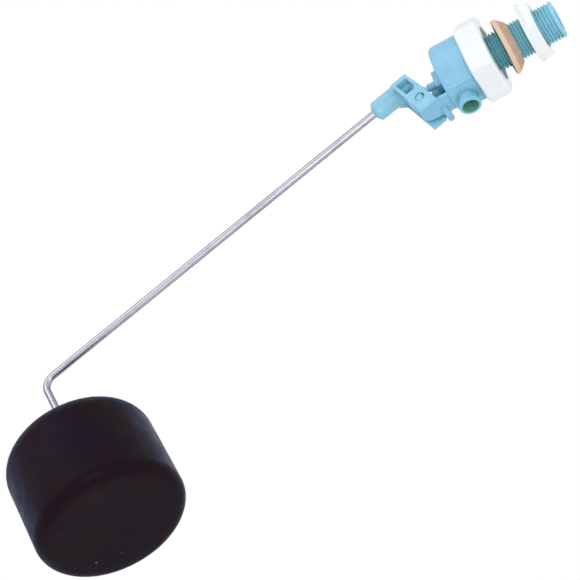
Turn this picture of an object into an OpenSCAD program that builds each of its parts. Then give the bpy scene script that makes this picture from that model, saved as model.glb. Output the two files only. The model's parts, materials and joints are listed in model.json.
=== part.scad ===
// Float valve for a cistern: side inlet, diaphragm shut-off, rod and hollow float.
// The valve axis is X. X = 0 is the mouth of the inlet tail and the valve lies on -X.
// Z is up: the outlet nozzle points down and the float hangs on the lever's rod.

/* [Inlet tail] */
// Outside diameter of the G1/2 thread
thread_d = 20.955; // [20.7:0.005:21]
// Thread pitch
thread_pitch = 1.814; // [1.5:0.001:2.1]
// Number of thread turns on the tail
thread_turns = 21; // [16:1:21]
// Bore that the supply pipe's water enters by
inlet_bore_d = 13; // [12:0.1:14]
// Outside diameter of the clamped flange
flange_d = 36.4; // [35:0.1:37]

/* [Nuts and tank washer] */
// Union nut, distance across its flats
union_af = 43; // [42:0.5:45]
// Union nut, diameter over its rounded corners
union_corner_d = 48; // [46:0.5:50]
// Union nut, length along the valve
union_length = 13.1; // [12:0.1:14]
// Union nut, turn of its corners about the valve axis
union_turn = 19; // [0:1:59]
// Lock nut, distance across its flats
lock_af = 29.2; // [28:0.1:31]
// Lock nut, diameter of its thin flange
lock_flange_d = 34.6; // [33:0.1:36]
// Lock nut, length with its flange
lock_length = 6.9; // [6:0.1:8]
// Lock nut, turn of its corners about the valve axis
lock_turn = 2; // [0:1:59]
// Tank washer, diameter of its rim
washer_d = 31.4; // [29:0.1:33]
// Tank washer, diameter of the small end of its cone
washer_nose_d = 23.4; // [23:0.1:26]
// Tank washer, tilt on the thread that it is loose on, degrees
washer_tilt = 8; // [0:0.5:8]

/* [Valve body] */
// Outside diameter of the cup
body_d = 37.2; // [35:0.1:37.4]
// Diameter of the wet chamber
chamber_d = 29.2; // [28.8:0.1:29.6]
// Bore of the outlet nozzle
outlet_bore_d = 9; // [8:0.1:9.6]
// Outside diameter of the nozzle's plain lip
outlet_lip_d = 12.2; // [11.4:0.1:12.4]
// Number of ribs around the nozzle
outlet_ribs = 8; // [6:1:14]
// Width of the bracket that carries the lever
bracket_w = 13.7; // [12:0.1:14.4]

/* [Lever] */
// Downward slope of the rod at the lower stop, degrees
arm_slope = 14.7; // [10:0.1:18]
// Width over both cheeks
lever_w = 19.5; // [18.6:0.1:21]
// Thickness of a cheek
cheek_t = 2.1; // [1.8:0.1:2.2]
// Diameter of the socket that grips the rod
socket_d = 11.3; // [10:0.1:11.6]
// Height of the rod's line above the pivot
arm_rise = 19.6; // [18:0.1:20]
// Diameter of the pivot pin
pin_d = 5; // [4:0.1:5.4]

/* [Rod and float] */
// Diameter of the steel rod
rod_d = 4; // [3:0.1:4.4]
// Distance from the pivot to the rod's bend, along the arm
arm_length = 253; // [120:1:300]
// Radius of the bend at the rod's middle line
bend_r = 7; // [6:0.5:12]
// Length of the rod's leg from the bend's corner to the float
leg_length = 48; // [30:0.5:80]
// Lean of the float's axis off plumb at the lower stop, degrees
float_lean = 11; // [0:0.5:16]
// Diameter of the float
float_d = 83; // [70:1:100]
// Height of the float
float_h = 60; // [48:1:80]
// Radius of the float's top rim
float_top_r = 12; // [5:0.5:14]
// Radius of the float's bottom rim
float_base_r = 6.5; // [5:0.5:14]
// Wall thickness of the float
float_wall = 1.5; // [1.2:0.1:2.5]

/* [Hidden] */
$fn = 96;

// Stations along the valve axis, from the inlet towards the lever
lock_x = -10.6;                      // inlet side of the lock nut
washer_nose_x = -26;                 // small end of the tank washer
washer_rim_x = -30.2;                // where the washer's cone meets its rim
washer_face_x = -32.5;               // flat face of the washer
washer_x = (washer_nose_x + washer_face_x) / 2;
union_x = -38.3;                     // inlet side of the union nut
union_wall_x = -41.3;                // inside of the nut's end wall
flange_x = -45;                      // back of the tail's flange
rim_x = -46.5;                       // rim of the body cup
union_end_x = union_x - union_length;
clamp_x = -63.1;                     // wet side of the diaphragm's clamped edge
shoulder_x = -64.6;                  // shoulder that the diaphragm lies on
back_x = -66.4;                      // inner face of the cup's end wall
body_end_x = -68.5;                  // outer face of the cup's end wall
guide_x = -73.4;                     // end of the plunger's guide boss
plunger_tip_x = -78.4;
outlet_x = -60.2;                    // axis of the outlet nozzle
seat_x = -59.4;                      // lip of the seat nozzle, over the outlet port

// Heights below the valve axis
saddle_z = -16.6;
port_z = -16.1;                      // inner end of the nozzle's bore
collar_z = -17.4;
outlet_z = -25.2;
floor_z = -15.8;

// Round sizes that follow from the driving ones
thread_depth = 0.64 * thread_pitch;
thread_r = thread_d / 2;
root_r = thread_r - thread_depth;
strainer_bore_r = inlet_bore_d / 2 - 0.3;
body_r = body_d / 2;
chamber_r = chamber_d / 2;
fit = 0.05;                          // clearance of a part that lies in another
plunger_r = 2.2;
port_r = 3;
washer_bore_r = thread_r + 0.65;
guide_r = plunger_r + 0.08;
pin_r = pin_d / 2;
rod_r = rod_d / 2;

// The lever's pivot and its local frame: x runs up the arm, z square to it
pivot = [-82, 0, -10.5];
knuckle_r = pivot[2] - floor_z;
lever_gap = lever_w / 2 - cheek_t;   // from the middle plane to a cheek's inner face
nose_tip = 5.89;                     // reach of the nose that pushes the plunger
nose_z = 9.2;

// The rod's bend and the float's top, as [x, z] beside the pivot in the lever's frame
bend_turn = 90 - arm_slope + float_lean;
bend_back = bend_r * tan(bend_turn / 2);
leg_dir = [-cos(bend_turn), -sin(bend_turn)];
float_top = [-arm_length, arm_rise] + leg_length * leg_dir;
pocket_depth = 30;
rod_in_float = 28;
bush_r = 4;

// Turns a flat [radius, x] outline about the valve axis
module turned(outline) {
    rotate([0, 90, 0]) rotate_extrude() polygon(outline);
}

// A solid bar along X from x0 to x1
module bar_x(r, x0, x1) {
    translate([min(x0, x1), 0, 0]) rotate([0, 90, 0]) cylinder(r = r, h = abs(x1 - x0));
}

// A solid bar along Y, centred on the middle plane
module bar_y(r, width) {
    rotate([90, 0, 0]) cylinder(r = r, h = width, center = true);
}

// A plate of the given outline in the XZ plane, centred on the middle plane
module plate_xz(outline, width) {
    rotate([90, 0, 0]) linear_extrude(height = width, center = true) polygon(outline);
}

// A quarter arc of points about a centre, from angle a0 to a1
function arc(c, r, a0, a1, n = 6) =
    [for (i = [0:n]) let (a = a0 + (a1 - a0) * i / n) c + r * [cos(a), sin(a)]];

// Puts its children in the lever's frame
module in_lever() {
    translate(pivot) rotate([0, -arm_slope, 0]) children();
}

// Puts its children with the float's top at their origin and its axis along Z
module in_float() {
    in_lever() translate([float_top[0], 0, float_top[1]])
        rotate([0, arm_slope - float_lean, 0]) children();
}

// ---- Fixed parts of the valve ----

module bracket() {
    // knuckle round the pivot pin
    translate(pivot) bar_y(knuckle_r, bracket_w);
    // floor that joins the knuckle to the cup
    translate([pivot[0], -bracket_w / 2, floor_z])
        cube([body_end_x - pivot[0] + 3, bracket_w, 1.9]);
    // gusset wall on the far side
    translate([0, bracket_w / 2 - 0.95, 0])
        plate_xz([[-80, -14.8], [-66, -14.8], [-66, 3.5], [-77.4, 3.5], [-79.6, -5]], 1.9);
    // round stop peg that the lever's far cheek comes down on
    translate([-73.9, 5.2, floor_z - 0.4]) {
        bar_y(1.9, 11.2);
        translate([0, 5.6, 0]) sphere(r = 1.9);
    }
}

module outlet_nozzle() {
    translate([outlet_x, 0, 0]) {
        // boxy saddle and the round collar under it
        translate([-7, -10.5, saddle_z]) cube([15.2, 21, 10]);
        translate([0, 0, collar_z]) cylinder(r = 8.3, h = 4);
        translate([0, 0, outlet_z]) cylinder(r = 5.2, h = 11);
        translate([0, 0, outlet_z]) cylinder(r = outlet_lip_d / 2, h = 2.2);
        for (i = [0:outlet_ribs - 1])
            rotate([0, 0, 360 / outlet_ribs * (i + 0.5)])
                translate([0, -0.45, outlet_z + 1]) cube([5.95, 0.9, 9]);
    }
}

module valve_body() color("lightskyblue") difference() {
    union() {
        // cup with a rounded closed end and a threaded rim under the union nut
        turned(concat([[0, body_end_x]],
            arc([body_r - 1.6, body_end_x + 1.6], 1.6, -90, 0, 4),
            [[body_r, union_end_x - 0.6], [18.9, union_end_x], [18.9, rim_x], [0, rim_x]]));
        outlet_nozzle();
        bracket();
        // guide boss for the plunger
        translate([guide_x, -3.2, -4.2]) cube([body_end_x - guide_x + 1, 6.4, 11]);
    }
    bar_x(chamber_r, shoulder_x, rim_x + 1);
    bar_x(10.6, back_x, shoulder_x + 1);
    bar_x(guide_r, guide_x - 1, back_x + 1);
    // the nozzle's bore, and the port that feeds it from the chamber
    translate([outlet_x, 0, outlet_z - 1])
        cylinder(r = outlet_bore_d / 2, h = port_z - outlet_z + 1);
    translate([seat_x, 0, port_z - 1]) cylinder(r = port_r, h = 1 - port_z);
    translate(pivot) bar_y(pin_r + 0.02, bracket_w + 2);
}

module union_nut() color("white") difference() {
    intersection() {
        translate([union_end_x, 0, 0]) rotate([union_turn, 0, 0]) rotate([0, 90, 0])
            cylinder(r = union_af / 2 / cos(30), h = union_length, $fn = 6);
        turned([[0, union_end_x], [union_corner_d / 2 - 1, union_end_x],
            [union_corner_d / 2, union_end_x + 1], [union_corner_d / 2, union_x - 2],
            [union_corner_d / 2 - 2, union_x], [0, union_x]]);
    }
    bar_x(19, union_end_x - 1, union_wall_x);
    bar_x(15.4, union_wall_x - 1, union_x + 1);
}

module inlet_tail() color("cadetblue") turned(concat(
    [[inlet_bore_d / 2, 0], [root_r, 0], [root_r, -0.6]],
    [for (i = [0:thread_turns - 1]) each [
        [root_r, -0.6 - (i + 0.12) * thread_pitch], [thread_r, -0.6 - (i + 0.42) * thread_pitch],
        [thread_r, -0.6 - (i + 0.58) * thread_pitch], [root_r, -0.6 - (i + 0.88) * thread_pitch]]],
    [[root_r, union_x - 0.9], [15, union_x - 0.9], [15, union_wall_x],
        [flange_d / 2, union_wall_x], [flange_d / 2, flange_x], [8, flange_x],
        [8, flange_x + 1.6], [strainer_bore_r, flange_x + 1.6], [strainer_bore_r, -18],
        [inlet_bore_d / 2, -18]]));

module tail_gasket() color("dimgray")
    turned([[12.2, flange_x], [chamber_r + 2.6, flange_x], [chamber_r + 2.6, rim_x], [12.2, rim_x]]);

// Insert that clamps the diaphragm and holds the seat nozzle
module seat_carrier() color("whitesmoke") difference() {
    turned([[2.6, rim_x], [chamber_r - fit, rim_x], [chamber_r - fit, rim_x - 1],
        [chamber_r - 1.3, rim_x - 1], [chamber_r - 1.3, rim_x - 2.8],
        [chamber_r - fit, rim_x - 2.8], [chamber_r - fit, clamp_x], [12.4, clamp_x],
        [12.4, rim_x - 4.4], [5, rim_x - 4.4], [5, -57], [2.6, -57]]);
    translate([seat_x, 0, -20]) cylinder(r = port_r + 0.2, h = 14);
}

module carrier_oring() color("dimgray") rotate([0, 90, 0])
    translate([0, 0, rim_x - 1.9]) rotate_extrude()
        translate([chamber_r - 0.7, 0]) circle(r = 0.6, $fn = 32);

module seat_nozzle() color("whitesmoke")
    turned([[1.6, -48], [2.55, -48], [2.55, -57], [4.2, -57], [4.2, -57.9], [2.6, seat_x],
        [1.6, seat_x]]);

// Basket of slots that keeps grit off the seat
module inlet_strainer() color("whitesmoke") difference() {
    turned([[0, -20], [5.7, -20], [5.7, flange_x + 1.6], [7.9, flange_x + 1.6], [7.9, flange_x],
        [4.8, flange_x], [4.8, -20.9], [0, -20.9]]);
    for (row = [0:4], turn = [0:60:300])
        rotate([turn, 0, 0]) translate([-24.6 - row * 3.8, -1.6, 4]) cube([2.2, 3.2, 4]);
}

// ---- Parts that the lever moves ----

// Rubber disc, clamped at its edge, with one fold round the thrust pad
module diaphragm() color("dimgray") turned([[0, clamp_x], [6.6, clamp_x], [7.6, clamp_x + 0.7],
    [9.2, clamp_x + 1.5], [10.6, clamp_x + 0.7], [11.4, clamp_x], [chamber_r - 0.1, clamp_x],
    [chamber_r - 0.1, shoulder_x], [11.4, shoulder_x], [10.4, clamp_x - 0.5],
    [9.2, clamp_x + 0.5], [8, clamp_x - 0.5], [7.2, shoulder_x + 0.1], [0, shoulder_x + 0.1]]);

module thrust_disc() color("whitesmoke")
    turned([[1.5, shoulder_x], [7, shoulder_x], [7, shoulder_x - 1.5], [1.5, shoulder_x - 1.5]]);

module plunger() color("lightskyblue") turned(concat(
    [[0, shoulder_x - 0.1], [1.45, shoulder_x - 0.1], [1.45, shoulder_x - 1.5],
        [plunger_r, shoulder_x - 1.5], [plunger_r, plunger_tip_x + 0.9]],
    arc([plunger_r - 0.9, plunger_tip_x + 0.9], 0.9, 0, -90, 4), [[0, plunger_tip_x]]));

// ---- Lever, rod and float ----

module pivot_pin() color("powderblue") translate(pivot) {
    translate([0, 0.15, 0]) bar_y(pin_r, lever_w - 0.1);
    translate([0, lever_w / 2 + 0.7, 0]) bar_y(3.5, 1.2);
}

// Outline of a cheek, which leans back to the socket, with its own lower corner
function cheek_outline(corner) = concat([[-4.6, -8.2]], corner,
    [[4.2, 6.8], [1.7, 19.4], [-8, 19.4]]);

module cheek(side, corner) translate([0, side * (lever_w - cheek_t) / 2, 0]) difference() {
    plate_xz(cheek_outline(corner), cheek_t);
    // window
    plate_xz([[-4.3, 7.1], [1.7, 7.1], [0.7, 16.6], [-5.9, 16.6]], cheek_t + 1);
}

module lever() color("skyblue") in_lever() difference() {
    union() {
        cheek(-1, [[6.1, -8.2]]);
        // the far cheek is cut back where it comes down on the stop peg
        cheek(1, [[3.4, -8.2], [5.67, -4.8]]);
        // back web and top block that join them
        plate_xz([[-5.5, 5.8], [-4.2, 5.8], [-5.5, 17], [-6.8, 17]], 2 * lever_gap + 2);
        translate([0, 0, 16.6]) linear_extrude(height = 2.8) polygon([[-12, -socket_d / 2 + 0.4],
            [-8, -lever_w / 2], [1.7, -lever_w / 2], [1.7, lever_w / 2], [-8, lever_w / 2],
            [-12, socket_d / 2 - 0.4]]);
        // nose that pushes the plunger
        translate([-5, -2.4, nose_z - 2.1]) cube([nose_tip + 3.4, 4.8, 4.2]);
        translate([nose_tip - 2, 0, nose_z]) bar_y(2, 4.8);
        // socket with a coned end
        translate([0, 0, arm_rise]) turned([[0, -24.2], [rod_r + 0.5, -24.2],
            [socket_d / 2, -22.2], [socket_d / 2, 0.4], [socket_d / 2 - 0.5, 0.9], [0, 0.9]]);
    }
    bar_y(pin_r + 0.08, lever_w + 2);
    // hole for the rod
    translate([0, 0, arm_rise]) bar_x(rod_r + 0.02, -30, -2);
}

module float_rod() color("silver") in_lever() translate([-arm_length, 0, arm_rise]) {
    bar_x(rod_r, bend_back, arm_length - 2.1);
    // bend, a hair slimmer so that its ends lie inside the straight stretches, then the leg
    translate([bend_back, 0, -bend_r]) rotate([90, 0, 0]) rotate([0, 0, 89])
        rotate_extrude(angle = bend_turn + 2) translate([bend_r, 0]) circle(r = rod_r - 0.01);
    rotate([0, -90 - bend_turn, 0]) translate([0, 0, bend_back])
        cylinder(r = rod_r, h = leg_length + rod_in_float - bend_back);
}

module float_bush() color("whitesmoke") in_float() rotate_extrude()
    polygon([[rod_r + 0.06, 1.2], [6, 1.2], [6, 0], [bush_r, 0], [bush_r, -12],
        [rod_r + 0.06, -12]]);

// Outer side of the float, from the edge of its top to its base, moved in by a wall
function float_side(wall) = concat(
    arc([float_d / 2 - float_top_r, -float_top_r], float_top_r - wall, 90, 0, 8),
    arc([float_d / 2 - float_base_r, float_base_r - float_h], float_base_r - wall, 0, -90, 8));

function reversed(points) = [for (i = [len(points) - 1:-1:0]) points[i]];

// One hollow moulding with a blind pocket for the rod
module float_body() color([0.12, 0.09, 0.12]) in_float() rotate_extrude() polygon(concat(
    [[bush_r + 0.02, 0]], float_side(0),
    [[0, -float_h], [0, float_wall - float_h]], reversed(float_side(float_wall)),
    [[bush_r + 1.6, -float_wall], [bush_r + 1.6, -pocket_depth - 1.6], [0, -pocket_depth - 1.6],
        [0, -pocket_depth], [rod_r + 0.1, -pocket_depth], [rod_r + 0.1, -12.1],
        [bush_r + 0.02, -12.1]]));

// ---- Parts that clamp the tank wall ----

// Soft conical washer, which sits a little askew on the thread
module tank_washer() color("tan") translate([washer_x, 0, 0])
    rotate(a = washer_tilt, v = [0, -0.637, 0.771]) translate([-washer_x, 0, 0])
        turned([[washer_bore_r, washer_face_x], [washer_d / 2, washer_face_x],
            [washer_d / 2, washer_rim_x], [washer_nose_d / 2, washer_nose_x],
            [washer_bore_r, washer_nose_x]]);

module lock_nut() color("white") difference() {
    union() {
        intersection() {
            translate([lock_x - lock_length, 0, 0]) rotate([lock_turn, 0, 0])
                rotate([0, 90, 0])
                    cylinder(r = lock_af / 2 / cos(30), h = lock_length, $fn = 6);
            turned([[0, lock_x - lock_length], [17, lock_x - lock_length], [17, lock_x - 1],
                [15.6, lock_x], [0, lock_x]]);
        }
        bar_x(lock_flange_d / 2, lock_x - lock_length, lock_x - lock_length + 1.4);
    }
    bar_x(thread_r + 0.12, lock_x - lock_length - 1, lock_x + 1);
}

valve_body();
union_nut();
inlet_tail();
tail_gasket();
seat_carrier();
carrier_oring();
seat_nozzle();
inlet_strainer();
diaphragm();
thrust_disc();
plunger();
pivot_pin();
lever();
float_rod();
float_bush();
float_body();
tank_washer();
lock_nut();
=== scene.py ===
"""Finished look of a side-inlet float valve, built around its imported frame."""

import json
import math

import bmesh
import bpy
from bpy.props import FloatProperty, FloatVectorProperty, IntProperty, PointerProperty
from bpy.types import Operator, Panel, PropertyGroup
from mathutils import Matrix, Vector


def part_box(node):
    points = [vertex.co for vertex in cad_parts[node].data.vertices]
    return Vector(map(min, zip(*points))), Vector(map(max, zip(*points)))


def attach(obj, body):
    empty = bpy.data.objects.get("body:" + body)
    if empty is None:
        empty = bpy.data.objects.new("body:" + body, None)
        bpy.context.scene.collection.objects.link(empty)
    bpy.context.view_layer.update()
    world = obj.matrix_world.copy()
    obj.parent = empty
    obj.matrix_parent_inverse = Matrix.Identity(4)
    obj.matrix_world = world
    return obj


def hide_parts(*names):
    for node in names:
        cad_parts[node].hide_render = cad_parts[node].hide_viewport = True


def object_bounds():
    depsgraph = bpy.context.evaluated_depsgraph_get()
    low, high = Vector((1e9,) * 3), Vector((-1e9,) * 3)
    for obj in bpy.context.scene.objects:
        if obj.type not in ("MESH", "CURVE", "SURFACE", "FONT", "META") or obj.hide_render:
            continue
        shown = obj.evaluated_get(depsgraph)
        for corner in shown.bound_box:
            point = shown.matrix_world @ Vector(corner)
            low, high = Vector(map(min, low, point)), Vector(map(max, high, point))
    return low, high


bl_info = {
    "name": "Float Valve Pieces",
    "version": (1, 0, 0),
    "blender": (4, 5, 0),
    "location": "View3D > Sidebar > Float Valve",
    "description": "Moulded, turned and bent pieces of a cistern float valve",
    "category": "Object",
}

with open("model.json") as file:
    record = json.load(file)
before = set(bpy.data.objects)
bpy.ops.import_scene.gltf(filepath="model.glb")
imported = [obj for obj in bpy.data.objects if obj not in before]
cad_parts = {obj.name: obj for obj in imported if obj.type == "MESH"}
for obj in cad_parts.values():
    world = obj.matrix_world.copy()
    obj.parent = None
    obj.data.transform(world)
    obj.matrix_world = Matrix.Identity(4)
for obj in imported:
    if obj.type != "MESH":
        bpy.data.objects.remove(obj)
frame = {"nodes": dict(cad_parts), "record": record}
CAD_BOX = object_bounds()

MM = 0.001
TOUCHING = 1e-7
TURN = 2 * math.pi
ALONG_X = Matrix.Rotation(math.radians(90), 4, "Y")
ALONG_Y = Matrix.Rotation(math.radians(-90), 4, "X")


# ---- Places taken from the frame ----

def low(node):
    """Lowest corner of a frame node."""
    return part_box(node)[0]


def high(node):
    """Highest corner of a frame node."""
    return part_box(node)[1]


def joint(name):
    """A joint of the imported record."""
    joints = frame["record"]["behaviour"]["joints"]
    return next(j for j in joints if j["name"] == name)


def mount(name):
    """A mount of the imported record."""
    return next(m for m in frame["record"]["mounts"] if m["name"] == name)


PIVOT = Vector(joint("lever_pivot")["pos_m"])
FLOAT_TOP = Vector(joint("float_turn")["pos_m"])
FLOAT_UP = Vector(joint("float_turn")["axis"])
OUTLET = Vector(mount("outlet_bore")["pos_m"])
FLOAT_LEAN = math.atan2(-FLOAT_UP.x, FLOAT_UP.z)
FLOAT_PLACE = Matrix.Translation(FLOAT_TOP) @ Matrix.Rotation(-FLOAT_LEAN, 4, "Y")
FLOAT_HEIGHT = 60 * MM

# Stations of the valve along its axis, beside it and below it
CUP_SHOULDER = high("thrust_disc").x
CUP_BACK = CUP_SHOULDER - 1.8 * MM
CUP_END = CUP_BACK - 2.1 * MM
CUP_RIM = low("tail_gasket").x
GUIDE_END = CUP_END - 4.9 * MM
SADDLE = -16.6 * MM
COLLAR = -17.4 * MM
PORT = Vector((-59.4 * MM, 0, -16.1 * MM))
PORT_RADIUS = 3 * MM
KNUCKLE = 5.3 * MM
BRACKET_FLOOR = PIVOT.z - KNUCKLE
WALL_BACK, WALL_FRONT, WALL_TOP = -80 * MM, -66 * MM, 3.5 * MM
PEG_FOOT = Vector((-73.9 * MM, -0.4 * MM, BRACKET_FLOOR - 0.4 * MM))
GATE_MARK = Vector((-56.6 * MM, -10.6 * MM, -14.3 * MM))
WASHER_MIDDLE = Vector((-29.25 * MM, 0, 0))
WASHER_HINGE = Vector((0, -0.637, 0.771))

# Lines that turned shapes stand on
OUTLET_AXIS = Matrix.Translation((OUTLET.x, 0, 0))
PORT_AXIS = Matrix.Translation((PORT.x, 0, 0))
PIVOT_AXIS = Matrix.Translation(PIVOT) @ ALONG_Y


# ---- Sizes and colours that a user would change ----

def length(name, description, default):
    """A length property in metres."""
    return FloatProperty(name=name, description=description, default=default, unit="LENGTH",
                         precision=5)


def angle(name, description, degrees):
    """An angle property, given in degrees."""
    return FloatProperty(name=name, description=description, default=math.radians(degrees),
                         subtype="ANGLE")


def colour(name, description, default):
    """A colour property in linear red, green and blue."""
    return FloatVectorProperty(name=name, description=description, default=default,
                               subtype="COLOR", size=3, min=0.0, max=1.0)


class FLOATVALVE_PG_sizes(PropertyGroup):
    """Sizes of the pieces, in metres and radians."""
    cup_radius: length("Cup radius", "Outside of the valve's cup", 18.6 * MM)
    cup_edge: length("Cup edge", "Rounding of the cup's closed end", 2 * MM)
    wall_radius: length("Chamber radius", "Inside of the cup", 14.6 * MM)
    outlet_bore: length("Outlet bore", "Radius of the outlet nozzle's bore", 4.5 * MM)
    outlet_lip: length("Outlet lip", "Radius of the plain lip of the nozzle", 6.1 * MM)
    outlet_ribs: IntProperty(name="Nozzle ribs", description="Ribs round the nozzle", default=8)
    bracket_width: length("Bracket width", "Width between the lever's cheeks", 13.7 * MM)
    lever_slope: angle("Lever slope", "Slope of the rod at rest", 14.7)
    lever_width: length("Lever width", "Width over both cheeks", 19.5 * MM)
    cheek: length("Cheek", "Thickness of a lever cheek", 2.1 * MM)
    socket_radius: length("Socket radius", "Socket that grips the rod", 5.65 * MM)
    arm_rise: length("Arm rise", "Height of the rod's line above the pivot", 19.6 * MM)
    arm_length: length("Arm length", "From the pivot to the rod's bend", 253 * MM)
    rod_radius: length("Rod radius", "Steel rod", 2 * MM)
    bend_radius: length("Bend radius", "Middle line of the rod's bend", 7 * MM)
    leg_length: length("Leg length", "From the bend's corner to the float", 48 * MM)
    union_corner: length("Union nut corner", "Radius over the rounded corners", 23.95 * MM)
    union_flat: length("Union nut flat", "Half the width across flats", 21.5 * MM)
    union_turn: angle("Union nut turn", "Turn of its corners about the valve", 19)
    lock_flat: length("Lock nut flat", "Half the width across flats", 14.6 * MM)
    lock_turn: angle("Lock nut turn", "Turn of its corners about the valve", 2)
    thread_radius: length("Thread radius", "Crest of the inlet thread", 10.4775 * MM)
    thread_pitch: length("Thread pitch", "Distance between turns", 1.814 * MM)
    thread_turns: IntProperty(name="Thread turns", description="Turns on the tail", default=21)
    washer_tilt: angle("Washer tilt", "How far the soft washer sits askew", 8)
    float_radius: length("Float radius", "Outside of the float", 41.5 * MM)
    float_draft: length("Float draft", "How much narrower the float's top is", 0.45 * MM)
    float_top_round: length("Float top rim", "Rounding of the upper rim", 12 * MM)
    float_base_round: length("Float base rim", "Rounding of the lower rim", 6.5 * MM)
    seam_turn: angle("Seam turn", "Turn of the mould seam about the float", 45)


class FLOATVALVE_PG_colours(PropertyGroup):
    """Base colours of the finishes."""
    body: colour("Body", "Light blue moulding of the valve", (0.26, 0.58, 0.80))
    lever: colour("Lever", "Cyan moulding of the lever", (0.28, 0.61, 0.80))
    tail: colour("Tail", "Blue moulding of the inlet tail at its mouth", (0.30, 0.66, 0.86))
    # painted shadow: the darker teal where the nuts shade the tail; it is also the tone of the
    # tail's random mottle
    tail_shadow_and_mottle: colour("Tail root", "Teal of the inlet tail by its nuts", (0.14, 0.42, 0.52))
    # painted shade: the teal-green darkening laid into the recesses of the blue mouldings
    recess_shade: colour("Recess", "Tint of the blue mouldings' hollows", (0.09, 0.34, 0.26))
    # painted shade: the darker green laid inside the outlet nozzle's bore
    bore: colour("Bore", "Green shade inside the outlet nozzle", (0.15, 0.44, 0.36))
    white: colour("White", "White mouldings", (0.88, 0.925, 0.955))
    tan: colour("Tan rubber", "Rubber of the tank washer", (0.60, 0.41, 0.30))
    # painted light: the outer rim band of the tank washer made paler
    painted_rim_light: colour("Tan rim", "Paler rim of the tank washer", (0.76, 0.56, 0.40))
    float_black: colour("Float", "Black moulding of the float", (0.0125, 0.0045, 0.004))
    steel: colour("Steel", "Drawn steel of the rod", (0.62, 0.60, 0.70))
    rubber: colour("Black rubber", "Seals inside the valve", (0.018, 0.018, 0.02))
    inner: colour("Inner plastic", "Natural mouldings inside the valve", (0.72, 0.75, 0.74))
    floor: colour("Floor", "Plain pale floor", (0.86, 0.86, 0.87))


def sizes():
    """The sizes held by the scene."""
    return bpy.context.scene.float_valve_sizes


def tint(name):
    """One of the colours held by the scene."""
    return tuple(getattr(bpy.context.scene.float_valve_colours, name))


# ---- Shells: closed shapes made with mesh operators ----

def quarter(steps):
    """Angles from nothing to a right angle, in equal steps."""
    return [math.radians(90 / steps * i) for i in range(steps + 1)]


def outward(bm):
    """Turns a closed shell's faces outward."""
    bmesh.ops.recalc_face_normals(bm, faces=bm.faces)
    return bm


def of_kind(result, kind):
    """The verts or edges that a mesh operator made."""
    return [item for item in result if isinstance(item, kind)]


def turned_shell(outline, steps=96, closed=False):
    """Spins a flat [radius, height] outline about Z. A closed outline is a ring's section."""
    bm = bmesh.new()
    verts = [bm.verts.new((radius, 0, height)) for radius, height in outline]
    pairs = list(zip(verts, verts[1:]))
    if closed:
        pairs.append((verts[-1], verts[0]))
    edges = [bm.edges.new(pair) for pair in pairs]
    bmesh.ops.spin(bm, geom=verts + edges, cent=(0, 0, 0), axis=(0, 0, 1), dvec=(0, 0, 0),
                   angle=TURN, steps=steps, use_merge=True, use_duplicate=False)
    bmesh.ops.remove_doubles(bm, verts=bm.verts, dist=TOUCHING)
    return outward(bm)


def block_shell(corner_a, corner_b, edge, segments=2):
    """A box between two corners with rounded edges."""
    a, b = Vector(corner_a), Vector(corner_b)
    bm = bmesh.new()
    bmesh.ops.create_cube(bm, size=1.0)
    bmesh.ops.scale(bm, vec=b - a, verts=bm.verts)
    bmesh.ops.translate(bm, vec=(a + b) / 2, verts=bm.verts)
    return rounded(outward(bm), edge, segments)


def bevelled(bm, edges, offset, segments, clamp=True):
    """Bevels some of a shell's edges."""
    bmesh.ops.bevel(bm, geom=edges, offset=offset, offset_type="OFFSET", segments=segments,
                    profile=0.5, affect="EDGES", clamp_overlap=clamp, material=-1)
    return bm


def rounded(bm, edge, segments=2):
    """Bevels every edge of a shell."""
    return bevelled(bm, list(bm.edges), edge, segments) if edge > 0 else bm


def drawn_out(bm, faces, step):
    """Extrudes flat faces by a step into a closed solid."""
    grown = bmesh.ops.extrude_face_region(bm, geom=faces, use_keep_orig=True)
    moved = of_kind(grown["geom"], bmesh.types.BMVert)
    bmesh.ops.translate(bm, vec=step, verts=moved)


def plate_shell(outline, near, far, edge=0.0):
    """A plate with an outline in X and Z, from Y = near to Y = far."""
    bm = bmesh.new()
    face = bm.faces.new([bm.verts.new((x, near, z)) for x, z in outline])
    drawn_out(bm, [face], (0, far - near, 0))
    return rounded(outward(bm), edge)


def bar_shell(radius, start, end, place, edge=0.0, steps=64):
    """A round bar along a place's Z from start to end, with bevelled rims."""
    outline = [(0, start), (radius - edge, start), (radius, start + edge), (radius, end - edge),
               (radius - edge, end), (0, end)]
    if edge == 0:
        outline = [(0, start), (radius, start), (radius, end), (0, end)]
    return placed(turned_shell(outline, steps), place)


# What an arc takes off a corner of 120 degrees, as a share of the arc's radius
CORNER_LOSS = 0.1547


def hexagon_shell(flat, corner, start, end, edge, round_segments=6):
    """A hexagonal bar along Z, a corner towards X, rounded back to the corner radius."""
    bm = bmesh.new()
    point = flat / math.cos(math.pi / 6)
    bmesh.ops.create_circle(bm, cap_ends=True, radius=point, segments=6,
                            matrix=Matrix.Rotation(math.radians(90), 4, "Z"))
    drawn_out(bm, list(bm.faces), (0, 0, end - start))
    bmesh.ops.translate(bm, vec=(0, 0, start), verts=bm.verts)
    outward(bm)
    upright = [e for e in bm.edges if abs(e.verts[0].co.z - e.verts[1].co.z) > MM]
    arc_radius = (point - corner) / CORNER_LOSS
    bevelled(bm, upright, arc_radius * math.tan(math.pi / 6), round_segments, clamp=False)
    rims = [e for e in bm.edges if abs(e.verts[0].co.z - e.verts[1].co.z) < TOUCHING
            and e.calc_face_angle(0) > 1]
    return bevelled(bm, rims, edge, 4)


THREAD_STEPS = 48
THREAD_LEAD = 30


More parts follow.
